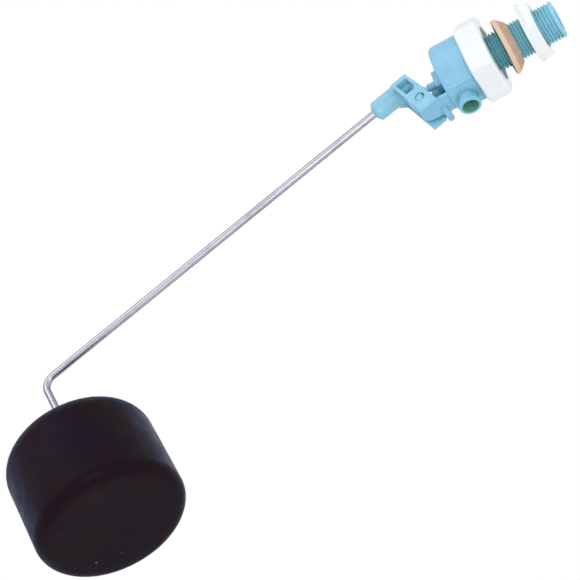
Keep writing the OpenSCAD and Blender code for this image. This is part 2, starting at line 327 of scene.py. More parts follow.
def helix_shell(section, pitch, turns, core):
    """Sweeps a closed [radius, height] section up a screw line. Its ends sink to the core."""
    bm = bmesh.new()
    verts = [bm.verts.new((radius, 0, height)) for radius, height in section]
    edges = [bm.edges.new(pair) for pair in zip(verts, verts[1:] + verts[:1])]
    steps = turns * THREAD_STEPS
    bmesh.ops.spin(bm, geom=verts + edges, cent=(0, 0, 0), axis=(0, 0, 1),
                   dvec=(0, 0, pitch / THREAD_STEPS), angle=TURN * turns, steps=steps,
                   use_merge=False, use_duplicate=False)
    bm.verts.ensure_lookup_table()
    for vert in bm.verts:
        ring = vert.index // len(section)
        share = min(1.0, ring / THREAD_LEAD, (steps - ring) / THREAD_LEAD)
        radius = vert.co.xy.length
        if radius > core:
            vert.co.xy *= (core + (radius - core) * share) / radius
    bmesh.ops.holes_fill(bm, edges=bm.edges, sides=0)
    return outward(bm)


def placed(bm, matrix):
    """Moves a shell by a matrix."""
    bmesh.ops.transform(bm, matrix=matrix, verts=bm.verts)
    return bm


def gathered(shells):
    """One mesh that holds all the shells."""
    whole = bmesh.new()
    for shell in shells:
        part = bpy.data.meshes.new("shell")
        shell.to_mesh(part)
        shell.free()
        whole.from_mesh(part)
        bpy.data.meshes.remove(part)
    return whole


def as_object(name, bm):
    """Puts a mesh in the scene."""
    mesh = bpy.data.meshes.new(name)
    bm.to_mesh(mesh)
    bm.free()
    item = bpy.data.objects.new(name, mesh)
    bpy.context.scene.collection.objects.link(item)
    return item


def settled(item):
    """Turns an object's modifiers into its mesh."""
    graph = bpy.context.evaluated_depsgraph_get()
    graph.update()
    mesh = bpy.data.meshes.new_from_object(item.evaluated_get(graph))
    item.modifiers.clear()
    old, item.data = item.data, mesh
    bpy.data.meshes.remove(old)
    return item


def cut(item, shells):
    """Takes the shells' space out of an object."""
    cutter = as_object("cutter", gathered(shells))
    boolean = item.modifiers.new("cut", "BOOLEAN")
    boolean.operation = "DIFFERENCE"
    boolean.solver = "EXACT"
    boolean.use_self = True
    boolean.object = cutter
    settled(item)
    bpy.data.objects.remove(cutter)
    return item


def moulded(item, voxel, passes):
    """Runs overlapping shells together as one moulding with small soft fillets."""
    remesh = item.modifiers.new("run together", "REMESH")
    remesh.mode = "VOXEL"
    remesh.voxel_size = voxel
    soften = item.modifiers.new("soften", "SMOOTH")
    soften.factor = 0.5
    soften.iterations = passes
    return settled(item)


def finished(item, body, slot, material, *nodes):
    """Shades a piece, gives it its finish and fixes it to a body of the frame."""
    item.data.shade_smooth()
    item.data.materials.clear()
    item.data.materials.append(material)
    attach(item, body)
    if nodes:
        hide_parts(*nodes)
    return item


def creased(item, degrees=35):
    """Keeps edges sharper than an angle crisp under smooth shading."""
    item.data.set_sharp_from_angle(angle=math.radians(degrees))
    return item


# ---- Finishes ----

class Finish:
    """A material whose nodes are added one by one."""

    def __init__(self, name, base, roughness, **sockets):
        self.material = bpy.data.materials.new(name)
        self.material.use_nodes = True
        self.nodes = self.material.node_tree.nodes
        self.links = self.material.node_tree.links
        self.shader = self.nodes["Principled BSDF"]
        self.shader.inputs["Base Color"].default_value = (*base, 1)
        self.shader.inputs["Roughness"].default_value = roughness
        for key, value in sockets.items():
            self.shader.inputs[key.replace("_", " ")].default_value = value
        self.coordinates = self.nodes.new("ShaderNodeTexCoord").outputs["Object"]

    def node(self, kind, **settings):
        made = self.nodes.new(kind)
        for key, value in settings.items():
            setattr(made, key, value)
        return made

    def link(self, start, end):
        self.links.new(start, end)

    def cloud(self, scale, detail, low_out=0, high_out=1):
        """Noise whose middle range is spread over an output range."""
        return self.spread(self.noise(scale, detail), 0.3, 0.7, low_out, high_out)

    def stretched(self, scale, turn=(0, 0, 0)):
        """Object coordinates turned and then scaled."""
        mapping = self.node("ShaderNodeMapping", vector_type="POINT")
        mapping.inputs["Rotation"].default_value = turn
        mapping.inputs["Scale"].default_value = scale
        self.link(self.coordinates, mapping.inputs["Vector"])
        return mapping.outputs["Vector"]

    def noise(self, scale, detail=2.0, roughness=0.5, vector=None):
        made = self.node("ShaderNodeTexNoise")
        made.inputs["Scale"].default_value = scale
        made.inputs["Detail"].default_value = detail
        made.inputs["Roughness"].default_value = roughness
        self.link(vector or self.coordinates, made.inputs["Vector"])
        return made.outputs["Fac"]

    def spread(self, value, low_in, high_in, low_out, high_out):
        """Stretches a value from one range to another."""
        made = self.node("ShaderNodeMapRange", clamp=True)
        for key, number in (("From Min", low_in), ("From Max", high_in), ("To Min", low_out),
                            ("To Max", high_out)):
            made.inputs[key].default_value = number
        self.link(value, made.inputs["Value"])
        return made.outputs["Result"]

    def mix(self, share, first, second):
        """Mixes two colours, each a constant or a node's output."""
        made = self.node("ShaderNodeMix", data_type="RGBA")
        self.link(share, made.inputs[0])
        for socket, value in ((made.inputs[6], first), (made.inputs[7], second)):
            if isinstance(value, bpy.types.NodeSocket):
                self.link(value, socket)
            else:
                socket.default_value = (*value, 1)
        return made.outputs[2]

    def colour(self, output):
        self.link(output, self.shader.inputs["Base Color"])

    def rough(self, output):
        self.link(output, self.shader.inputs["Roughness"])

    def bump(self, height, strength, distance):
        made = self.node("ShaderNodeBump")
        made.inputs["Strength"].default_value = strength
        made.inputs["Distance"].default_value = distance
        previous = self.shader.inputs["Normal"]
        if previous.is_linked:
            self.link(previous.links[0].from_socket, made.inputs["Normal"])
        self.link(height, made.inputs["Height"])
        self.link(made.outputs["Normal"], previous)

    def axis(self, name):
        """One of the object coordinates."""
        made = self.node("ShaderNodeSeparateXYZ")
        self.link(self.coordinates, made.inputs["Vector"])
        return made.outputs[name]

    def from_axis(self, shift, keep):
        """Distance from a line: coordinates shifted, then scaled to leave the line's own out."""
        moved = self.node("ShaderNodeVectorMath", operation="ADD")
        moved.inputs[1].default_value = shift
        self.link(self.coordinates, moved.inputs[0])
        flat = self.node("ShaderNodeVectorMath", operation="MULTIPLY")
        flat.inputs[1].default_value = keep
        self.link(moved.outputs["Vector"], flat.inputs[0])
        reach = self.node("ShaderNodeVectorMath", operation="LENGTH")
        self.link(flat.outputs["Vector"], reach.inputs[0])
        return reach.outputs["Value"]

    def grazing(self, start, end, share):
        """How far the surface turns away, spread from nothing to a share."""
        made = self.node("ShaderNodeLayerWeight")
        made.inputs["Blend"].default_value = 0.5
        return self.spread(made.outputs["Facing"], start, end, 0, share)

    def product(self, first, second):
        made = self.node("ShaderNodeMath", operation="MULTIPLY")
        self.link(first, made.inputs[0])
        self.link(second, made.inputs[1])
        return made.outputs[0]

    def hollows(self, reach):
        """How open the surface is, from 0 in a tight recess to 1 in the open; it sets where shade
        is painted.
        """
        made = self.node("ShaderNodeAmbientOcclusion", samples=8)
        made.inputs["Distance"].default_value = reach
        return made.outputs["AO"]


def shade_of(base, share):
    """A colour darkened to a share of itself."""
    return tuple(channel * share for channel in base)


BLUE_SCATTER = (0.5, 0.9, 1.0)


def blue_moulding(name, base, recess_shade_share=0.95):
    """Translucent blue plastic: cloudy colour, painted shade in its recesses and in the nozzle's
    bore, and a fine moulded skin.
    """
    made = Finish(name, base, 0.36, Subsurface_Weight=0.12, Subsurface_Scale=0.0015,
                  Subsurface_Radius=BLUE_SCATTER, IOR=1.49)
    flow = made.mix(made.cloud(160, 3), shade_of(base, 0.9), base)
    # painted shade: recesses darkened towards the recess colour by ambient occlusion
    closed = made.spread(made.hollows(6 * MM), 0.1, 0.75, recess_shade_share, 0)
    tinted = made.mix(closed, flow, tint("recess_shade"))
    # painted shade: the outlet's bore below its lip is coloured a darker green
    inside = made.spread(made.from_axis((-OUTLET.x, 0, 0), (1, 1, 0)), 4.6 * MM, 4.9 * MM, 1, 0)
    below = made.spread(made.axis("Z"), -15.5 * MM, -14.5 * MM, 1, 0)
    made.colour(made.mix(made.product(inside, below), tinted, tint("bore")))
    made.rough(made.cloud(900, 2, 0.31, 0.44))
    made.bump(made.noise(1500, 2), 0.12, 0.05 * MM)
    made.bump(made.noise(210, 2), 0.25, 0.08 * MM)
    return made.material


def tail_moulding():
    """Blue plastic of the tail: a painted shadow of teal by the nuts that fades to paler towards
    its mouth, with painted shade in its thread grooves.
    """
    pale = tint("tail")
    made = Finish("tail_moulding", pale, 0.34, Subsurface_Weight=0.1, Subsurface_Scale=0.001,
                  Subsurface_Radius=BLUE_SCATTER, IOR=1.49)
    # painted shadow: darker teal near the nuts, fading out towards the mouth
    share = made.spread(made.axis("X"), -36 * MM, -4 * MM, 0, 1)
    flow = made.mix(share, tint("tail_shadow_and_mottle"), pale)
    cloudy = made.mix(made.cloud(160, 3, 0, 0.35), flow, tint("tail_shadow_and_mottle"))
    # painted shade: thread grooves and other recesses darkened towards the recess colour
    closed = made.spread(made.hollows(3 * MM), 0.2, 0.9, 0.45, 0)
    made.colour(made.mix(closed, cloudy, tint("recess_shade")))
    made.rough(made.cloud(900, 2, 0.3, 0.44))
    made.bump(made.noise(1500, 2), 0.1, 0.04 * MM)
    return made.material


def white_moulding():
    """White plastic with faint flow marks, handling scuffs and a painted lilac shade in its
    recesses.
    """
    base = tint("white")
    made = Finish("white_moulding", base, 0.3, Subsurface_Weight=0.15, Subsurface_Scale=0.002,
                  Subsurface_Radius=(0.9, 0.9, 1.0), IOR=1.5)
    flow = made.mix(made.cloud(110, 4), shade_of(base, 0.95), base)
    # painted shade: recesses darkened towards lilac by ambient occlusion
    closed = made.spread(made.hollows(3 * MM), 0.1, 0.6, 0.5, 0)
    made.colour(made.mix(closed, flow, (0.46, 0.44, 0.66)))
    scuffs = made.noise(1, 5, 0.7, made.stretched((2600, 380, 380), (0.4, 0.9, 0.2)))
    made.rough(made.spread(scuffs, 0.45, 0.75, 0.26, 0.46))
    made.bump(made.noise(260, 3), 0.12, 0.06 * MM)
    return made.material


def tan_rubber():
    """Dusty tan rubber with a mottled, slightly grainy skin and a painted light on its outer rim
    band.
    """
    base = tint("tan")
    made = Finish("tan_rubber", base, 0.7, IOR=1.5)
    flow = made.mix(made.cloud(240, 4), shade_of(base, 0.86), base)
    dust = made.spread(made.noise(1400, 3, 0.7), 0.58, 0.75, 0, 0.5)
    dusty = made.mix(dust, flow, (0.80, 0.62, 0.46))
    # painted light: the rim band beyond 15 mm from the axis is made paler
    rim = made.spread(made.from_axis((0, 0, 0), (0, 1, 1)), 15 * MM, 15.4 * MM, 0, 1)
    made.colour(made.mix(rim, dusty, tint("painted_rim_light")))
    made.rough(made.cloud(700, 2, 0.6, 0.82))
    made.bump(made.noise(2200, 3, 0.6), 0.35, 0.06 * MM)
    made.bump(made.noise(300, 2), 0.4, 0.12 * MM)
    return made.material


def black_rubber():
    """Matte black rubber of the seals."""
    base = tint("rubber")
    made = Finish("black_rubber", base, 0.62, IOR=1.5)
    bloom = made.spread(made.noise(500, 4), 0.45, 0.75, 0, 0.6)
    made.colour(made.mix(bloom, base, (0.06, 0.06, 0.065)))
    made.rough(made.cloud(900, 2, 0.52, 0.72))
    made.bump(made.noise(2500, 2), 0.3, 0.04 * MM)
    return made.material


def inner_plastic():
    """Natural milky plastic of the pieces inside the valve."""
    base = tint("inner")
    made = Finish("inner_plastic", base, 0.4, Subsurface_Weight=0.2, Subsurface_Scale=0.002,
                  IOR=1.5)
    made.colour(made.mix(made.cloud(200, 3), shade_of(base, 0.88), base))
    made.rough(made.cloud(800, 2, 0.33, 0.5))
    made.bump(made.noise(600, 2), 0.2, 0.05 * MM)
    return made.material


def drawn_steel():
    """Bright drawn wire: fine lines along it, small nicks, a slight tarnish and painted shade
    along its turned-away edges.
    """
    base = tint("steel")
    made = Finish("drawn_steel", base, 0.3, Metallic=1.0)
    lines = made.noise(1, 3, 0.6, made.stretched((60, 2600, 2600), (0, sizes().lever_slope, 0)))
    tarnish = made.spread(made.noise(70, 4, 0.65), 0.5, 0.8, 0, 1)
    streaked = made.mix(made.spread(lines, 0.3, 0.7, 0, 1), shade_of(base, 0.72), base)
    worn = made.mix(tarnish, streaked, (0.25, 0.23, 0.30))
    # painted shade: the colour darkens to a dusky blue where the rod's surface turns away
    made.colour(made.mix(made.grazing(0.25, 0.7, 0.9), worn, (0.05, 0.045, 0.12)))
    made.rough(made.spread(lines, 0.3, 0.75, 0.22, 0.42))
    made.bump(lines, 0.25, 0.03 * MM)
    made.bump(made.noise(900, 2), 0.2, 0.04 * MM)
    return made.material


def float_plastic():
    """Black blow-moulded plastic: waxy skin, slow waves, pale flecks, scuffs and a painted blue
    sheen along its turned-away edges.
    """
    base = tint("float_black")
    made = Finish("float_plastic", base, 0.5, IOR=1.5, Specular_IOR_Level=0.1)
    made.shader.inputs["Specular Tint"].default_value = (0.42, 0.55, 1.0, 1)
    cloud = made.spread(made.noise(45, 3), 0.35, 0.65, 0, 1)
    skin = made.mix(cloud, (0.010, 0.004, 0.009), base)
    cells = made.node("ShaderNodeTexVoronoi")
    cells.inputs["Scale"].default_value = 260
    made.link(made.stretched((1, 1, 0.45)), cells.inputs["Vector"])
    fleck = made.spread(cells.outputs["Distance"], 0.10, 0.16, 1, 0)
    sparse = made.spread(made.noise(75, 2), 0.66, 0.70, 0, 1)
    flecked = made.mix(made.product(fleck, sparse), skin, (0.15, 0.22, 0.36))
    # painted sheen: the colour turns blue where the float's surface turns away
    made.colour(made.mix(made.grazing(0.45, 0.85, 1), flecked, (0.004, 0.014, 0.06)))
    made.rough(made.spread(made.noise(120, 4, 0.6), 0.3, 0.7, 0.38, 0.56))
    made.bump(made.noise(950, 3, 0.6), 0.18, 0.05 * MM)
    made.bump(made.noise(55, 2), 0.35, 0.35 * MM)
    return made.material


# ---- Valve body ----

def cup_shells():
    """Cup, saddle, bracket, guide boss and stop peg as overlapping shells."""
    s = sizes()
    edge, radius = s.cup_edge, s.cup_radius
    nut_end, rim = low("union_nut").x, 18.8 * MM
    arc = [(radius - edge * (1 - math.sin(t)), CUP_END + edge * (1 - math.cos(t)))
           for t in quarter(6)]
    outline = [(0, CUP_END), *arc, (radius, nut_end - 0.2 * MM), (rim, nut_end),
               (rim, CUP_RIM), (0, CUP_RIM)]
    half, gusset = s.bracket_width / 2, 1.9 * MM
    floor = BRACKET_FLOOR + MM
    wall = [(WALL_BACK, floor), (WALL_FRONT, floor), (WALL_FRONT, WALL_TOP),
            (-77.4 * MM, WALL_TOP), (-79.6 * MM, -5 * MM)]
    return [
        placed(turned_shell(outline, 128), ALONG_X),
        block_shell((OUTLET.x - 7 * MM, -10.5 * MM, SADDLE),
                    (OUTLET.x + 8.2 * MM, 10.5 * MM, -7 * MM), 0.6 * MM),
        bar_shell(KNUCKLE, -half, half, PIVOT_AXIS, 0.4 * MM),
        block_shell((PIVOT.x, -half, BRACKET_FLOOR),
                    (CUP_END + 3 * MM, half, BRACKET_FLOOR + gusset), 0.3 * MM),
        plate_shell(wall, half - gusset, half, 0.3 * MM),
        block_shell((GUIDE_END, -3.2 * MM, -4.2 * MM), (CUP_END + MM, 3.2 * MM, 6.8 * MM),
                    0.5 * MM),
        placed(peg_shell(), Matrix.Translation(PEG_FOOT) @ ALONG_Y),
    ]


def peg_shell():
    """Stop peg along Z with a domed end."""
    radius, reach = 1.9 * MM, 11.2 * MM
    dome = [(radius * math.cos(t), reach + radius * math.sin(t))
            for t in quarter(5)[:-1]]
    return turned_shell([(0, 0), (radius - 0.4 * MM, 0), (radius, 0.4 * MM), *dome,
                         (0, reach + radius)], 40)


class FLOATVALVE_OT_body(Operator):
    """Moulds the cup with its saddle and bracket, and the ribbed outlet nozzle"""
    bl_idname = "float_valve.body"
    bl_label = "Valve Body"

    def execute(self, context):
        s = sizes()
        plastic = blue_moulding("body_moulding", tint("body"))
        cup = as_object("valve_cup", gathered(cup_shells()))
        gate_axis = Matrix.Translation(GATE_MARK) @ ALONG_Y
        cut(cup, [
            bar_shell(s.wall_radius, CUP_SHOULDER, CUP_RIM + MM, ALONG_X),
            bar_shell(10.6 * MM, CUP_BACK, CUP_SHOULDER + MM, ALONG_X),
            bar_shell(2.3 * MM, GUIDE_END - MM, CUP_BACK + MM, ALONG_X, steps=32),
            bar_shell(s.outlet_bore, OUTLET.z, PORT.z, OUTLET_AXIS),
            bar_shell(PORT_RADIUS, PORT.z - MM, 0, PORT_AXIS, steps=48),
            bar_shell(2.52 * MM, -9 * MM, 9 * MM, PIVOT_AXIS, steps=40),
            bar_shell(0.45 * MM, -0.5 * MM, 0.5 * MM, gate_axis, steps=16),
        ])
        moulded(cup, voxel=0.36 * MM, passes=5)
        finished(cup, "root", "body_plastic", plastic, "valve_body")

        nozzle = as_object("outlet_nozzle", gathered(nozzle_shells()))
        cut(nozzle, [bar_shell(s.outlet_bore, OUTLET.z - MM, PORT.z, OUTLET_AXIS),
                     bar_shell(PORT_RADIUS, PORT.z - MM, -12 * MM, PORT_AXIS, steps=48)])
        moulded(nozzle, voxel=0.2 * MM, passes=3)
        finished(nozzle, "root", "body_plastic", plastic, "valve_body")
        return {"FINISHED"}


def nozzle_shells():
    """Collar, tube, plain lip and ribs of the outlet."""
    s = sizes()
    mouth, buried = OUTLET.z, -14 * MM
    shells = [
        bar_shell(8.3 * MM, COLLAR, buried, OUTLET_AXIS, 0.4 * MM, 80),
        bar_shell(5.05 * MM, mouth + 0.3 * MM, buried, OUTLET_AXIS, 0, 80),
        bar_shell(s.outlet_lip, mouth, mouth + 2.2 * MM, OUTLET_AXIS, 0.35 * MM, 80),
    ]
    for i in range(s.outlet_ribs):
        turn = Matrix.Rotation(TURN * (i + 0.5) / s.outlet_ribs, 4, "Z")
        rib = block_shell((-0.42 * MM, -5.95 * MM, mouth + 1.2 * MM),
                          (0.42 * MM, -4.6 * MM, COLLAR + 1 * MM), 0.15 * MM, 1)
        shells.append(placed(rib, OUTLET_AXIS @ turn))
    return shells


# ---- Nuts, tail and washer ----

class FLOATVALVE_OT_union_nut(Operator):
    """Moulds the large white union nut with a bead along each corner"""
    bl_idname = "float_valve.union_nut"
    bl_label = "Union Nut"

    def execute(self, context):
        s = sizes()
        back, front = low("union_nut").x, high("union_nut").x
        beads = []
        for i in range(6):
            turn = Matrix.Rotation(TURN * i / 6, 4, "Z")
            bead = block_shell((s.union_corner - 2.4 * MM, -1.3 * MM, back + 0.6 * MM),
                               (s.union_corner - 0.02 * MM, 1.3 * MM, front - 1.6 * MM),
                               0.4 * MM)
            beads.append(placed(bead, turn))
        bar = hexagon_shell(s.union_flat, s.union_corner - 0.35 * MM, back, front, 1.5 * MM)
        turned = Matrix.Rotation(s.union_turn, 4, "X") @ ALONG_X
        nut = as_object("union_nut_moulding", placed(gathered([bar, *beads]), turned))
        wall = front - 3 * MM
        cut(nut, [bar_shell(19 * MM, back - MM, wall, ALONG_X),
                  bar_shell(15.4 * MM, wall - MM, front + MM, ALONG_X)])
        moulded(nut, voxel=0.32 * MM, passes=4)
        finished(nut, "root", "white_plastic", white_moulding(), "union_nut")
        return {"FINISHED"}


class FLOATVALVE_OT_lock_nut(Operator):
    """Moulds the white lock nut with its thin flange"""
    bl_idname = "float_valve.lock_nut"
    bl_label = "Lock Nut"

    def execute(self, context):
        s = sizes()
        back, front = low("lock_nut").x, high("lock_nut").x
        bar = hexagon_shell(s.lock_flat, 16.7 * MM, back, front, 0.5 * MM, 3)
        turned = Matrix.Rotation(s.lock_turn, 4, "X") @ ALONG_X
        flange = bar_shell(17.25 * MM, back, back + 1.5 * MM, ALONG_X, 0.35 * MM, 96)
        nut = as_object("lock_nut_moulding", gathered([placed(bar, turned), flange]))
        bore = s.thread_radius + 0.12 * MM
        mouth = [(0, back - 0.1 * MM), (bore + 0.8 * MM, back - 0.1 * MM),
                 (bore, back + 0.7 * MM),
                 (bore, front - 0.7 * MM), (bore + 0.8 * MM, front + 0.1 * MM),
                 (0, front + 0.1 * MM)]
        cut(nut, [placed(turned_shell(mouth), ALONG_X)])
        moulded(nut, voxel=0.25 * MM, passes=3)
        finished(nut, "lock_nut", "white_plastic", white_moulding(), "lock_nut")
        return {"FINISHED"}


class FLOATVALVE_OT_tail(Operator):
    """Turns the inlet tail and winds its right-hand thread"""
    bl_idname = "float_valve.tail"
    bl_label = "Inlet Tail"

    def execute(self, context):
        s = sizes()
        pitch, crest = s.thread_pitch, s.thread_radius
        root = crest - 0.64 * pitch
        flange, mouth = low("inlet_tail").x, high("inlet_tail").x
        nut_front, collar = high("union_nut").x, 15 * MM
        wide, bore, seat = -low("inlet_tail").y, 6.5 * MM, 6.2 * MM
        land = crest - 0.15 * MM
        outline = [(bore + 0.3 * MM, mouth), (land - 0.3 * MM, mouth), (land, mouth - 0.3 * MM),
                   (land, mouth - 1.5 * MM), (root, mouth - 2 * MM),
                   (root, nut_front - 0.9 * MM), (14.7 * MM, nut_front - 0.9 * MM),
                   (collar, nut_front - 1.2 * MM),
                   (collar, nut_front - 3.1 * MM), (wide, nut_front - 3.1 * MM),
                   (wide, flange), (8 * MM, flange), (8 * MM, flange + 1.6 * MM),
                   (seat, flange + 1.6 * MM), (seat, -18.5 * MM), (bore, -18 * MM),
                   (bore, mouth - 0.3 * MM)]
        tube = placed(turned_shell(outline, 128, closed=True), ALONG_X)
        sunk = root - 0.3 * MM
        section = [(sunk, -0.46 * pitch), (root + 0.02 * MM, -0.40 * pitch),
                   (crest - 0.05 * MM, -0.11 * pitch), (crest, -0.05 * pitch),
                   (crest, 0.05 * pitch), (crest - 0.05 * MM, 0.11 * pitch),
                   (root + 0.02 * MM, 0.40 * pitch), (sunk, 0.46 * pitch)]
        ridge = helix_shell(section, pitch, s.thread_turns, core=sunk)
        start = Matrix.Translation((0, 0, mouth - MM - s.thread_turns * pitch))
        thread = placed(placed(ridge, start), ALONG_X)
        tail = creased(as_object("threaded_tail", gathered([tube, thread])))
        finished(tail, "root", "tail_plastic", tail_moulding(), "inlet_tail")
        return {"FINISHED"}


class FLOATVALVE_OT_washer(Operator):
    """Turns the conical tan washer with softened rims"""
    bl_idname = "float_valve.washer"
    bl_label = "Tank Washer"

    def execute(self, context):
        s = sizes()
        rim, bore = 15.7 * MM, s.thread_radius + 0.65 * MM
        face, nose = -3.25 * MM, 3.25 * MM
        outline = [(bore, face + 0.2 * MM), (bore + 0.2 * MM, face), (rim - 0.5 * MM, face),
                   (rim - 0.15 * MM, face + 0.15 * MM), (rim, face + 0.5 * MM),
                   (rim, face + 1.95 * MM), (rim - 0.12 * MM, face + 2.25 * MM),
                   (rim - 0.4 * MM, face + 2.6 * MM), (12 * MM, nose - 0.45 * MM),
                   (11.7 * MM, nose - 0.12 * MM), (11.5 * MM, nose),
                   (bore + 0.15 * MM, nose), (bore, nose - 0.15 * MM)]
        askew = Matrix.Rotation(s.washer_tilt, 4, WASHER_HINGE)
        place = Matrix.Translation(WASHER_MIDDLE) @ askew @ ALONG_X
        ring = as_object("conical_washer", placed(turned_shell(outline, 128, True), place))
        finished(creased(ring, 50), "tank_washer", "tan_rubber", tan_rubber(), "tank_washer")
        return {"FINISHED"}


# ---- Plunger, pin and lever ----

class FLOATVALVE_OT_plunger(Operator):
    """Turns the plunger and the pivot pin"""
    bl_idname = "float_valve.plunger"
    bl_label = "Plunger and Pin"

    def execute(self, context):
        tip, back = low("plunger").x, high("plunger").x
        radius, round_off = 2.2 * MM, 1.1 * MM
        dome = [(radius - round_off * (1 - math.cos(t)), tip + round_off * (1 - math.sin(t)))
                for t in quarter(6)]
        outline = [(0, back), (1.45 * MM, back), (1.45 * MM, back - 1.4 * MM),
                   (radius, back - 1.4 * MM), *dome, (0, tip)]
        stem = as_object("plunger_stem", placed(turned_shell(outline, 48), ALONG_X))
        plastic = blue_moulding("lever_moulding", tint("lever"))
        finished(creased(stem), "plunger", "body_plastic", plastic, "plunger")

        near, far = low("pivot_pin").y + 0.3 * MM, high("pivot_pin").y
        shank, head = 2.5 * MM, 3.5 * MM
        outline = [(0, near), (shank - 0.5 * MM, near), (shank - 0.1 * MM, near + 0.25 * MM),
                   (shank, near + 0.6 * MM), (shank, far - 1.2 * MM),
                   (head - 0.2 * MM, far - 1.2 * MM), (head, far - MM), (head, far - 0.5 * MM),
                   (head - 0.5 * MM, far), (0, far)]
        shell = placed(turned_shell(outline, 64), PIVOT_AXIS)
        # one side of the shank's near end is cut off at a slant
        slant = 0.9
        for vert in shell.verts:
            if vert.co.y < near + MM and vert.co.x > PIVOT.x + MM:
                vert.co.y += slant * (vert.co.x - PIVOT.x - MM)
        pin = as_object("pivot_pin_shank", shell)
        finished(creased(pin), "root", "lever_plastic", plastic, "pivot_pin")
        return {"FINISHED"}


def lever_shells():
    """Web, wings, nose and socket, with the pivot at the origin and the arm along X."""
    s = sizes()
    half, gap = s.lever_width / 2, s.lever_width / 2 - s.cheek
    socket_r = s.socket_radius
    web = [(-5.5 * MM, 5.8 * MM), (-4.2 * MM, 5.8 * MM), (-5.5 * MM, 17 * MM),
           (-6.8 * MM, 17 * MM)]
    wing = [(-12 * MM, -socket_r + 0.4 * MM), (-8 * MM, -half), (1.7 * MM, -half),
            (1.7 * MM, half), (-8 * MM, half), (-12 * MM, socket_r - 0.4 * MM)]
    flat = Matrix.Translation((0, 0, 16.6 * MM)) @ Matrix.Rotation(math.radians(90), 4, "X")
    socket = [(0, -24.1 * MM), (2.5 * MM, -24.1 * MM), (2.9 * MM, -23.8 * MM),
              (socket_r - 0.3 * MM, -22.3 * MM), (socket_r, -21.6 * MM), (socket_r, 0.3 * MM),
              (socket_r - 0.6 * MM, 0.8 * MM), (0, 0.8 * MM)]
    return [
        plate_shell(web, -gap - MM, gap + MM),
        placed(plate_shell(wing, 0, 2.8 * MM, 0.25 * MM), flat),
        block_shell((-5 * MM, -2.4 * MM, 7.1 * MM), (4.1 * MM, 2.4 * MM, 11.3 * MM), 0.2 * MM),
        bar_shell(2 * MM, -2.4 * MM, 2.4 * MM,
                  Matrix.Translation((3.84 * MM, 0, 9.2 * MM)) @ ALONG_Y, 0.3 * MM),
        placed(turned_shell(socket, 80), Matrix.Translation((0, 0, s.arm_rise)) @ ALONG_X),
    ]


def windowed_cheek(name, side, corner):
    """A cheek of the lever with its window, closed round its own lower corner."""
    s = sizes()
    half, gap = side * s.lever_width / 2, side * (s.lever_width / 2 - s.cheek)
    outline = [(-4.6 * MM, -8.2 * MM), *corner, (4.2 * MM, 6.8 * MM), (1.7 * MM, 19.4 * MM),
               (-8 * MM, 19.4 * MM)]
    window = [(-4.3 * MM, 7.1 * MM), (1.7 * MM, 7.1 * MM), (0.7 * MM, 16.6 * MM),
              (-5.9 * MM, 16.6 * MM)]
    cheek = as_object(name, plate_shell(outline, half, gap, 0.25 * MM))
    return cut(cheek, [plate_shell(window, half + side * MM, gap - side * MM)])


def taken_back(item):
    """The mesh of an object, whose object is then removed."""
    bm = bmesh.new()
    bm.from_mesh(item.data)
    bpy.data.objects.remove(item)
    return bm


class FLOATVALVE_OT_lever(Operator):
    """Moulds the forked lever with its windows and rod socket"""
    bl_idname = "float_valve.lever"
    bl_label = "Lever"

    def execute(self, context):
        s = sizes()
        half = s.lever_width / 2
        cheeks = [windowed_cheek("near_cheek", -1, [(6.1 * MM, -8.2 * MM)]),
                  windowed_cheek("far_cheek", 1, [(3.4 * MM, -8.2 * MM), (5.67 * MM, -4.8 * MM)])]
        shells = [*map(taken_back, cheeks), *lever_shells()]
        lever = as_object("forked_lever", gathered(shells))
        raised = Matrix.Translation((0, 0, s.arm_rise))
        cut(lever, [
            bar_shell(2.6 * MM, -half - MM, half + MM, ALONG_Y, steps=48),
            bar_shell(s.rod_radius + 0.08 * MM, -30 * MM, -2 * MM, raised @ ALONG_X, steps=40),
        ])
        moulded(lever, voxel=0.24 * MM, passes=3)
        place = Matrix.Translation(PIVOT) @ Matrix.Rotation(-s.lever_slope, 4, "Y")
        lever.data.transform(place)
        # the lever's recesses get a lighter share of painted shade
        plastic = blue_moulding("lever_skin", tint("lever"), recess_shade_share=0.6)
        finished(lever, "lever_arm", "lever_plastic", plastic, "lever")
        return {"FINISHED"}


# ---- Rod and float ----

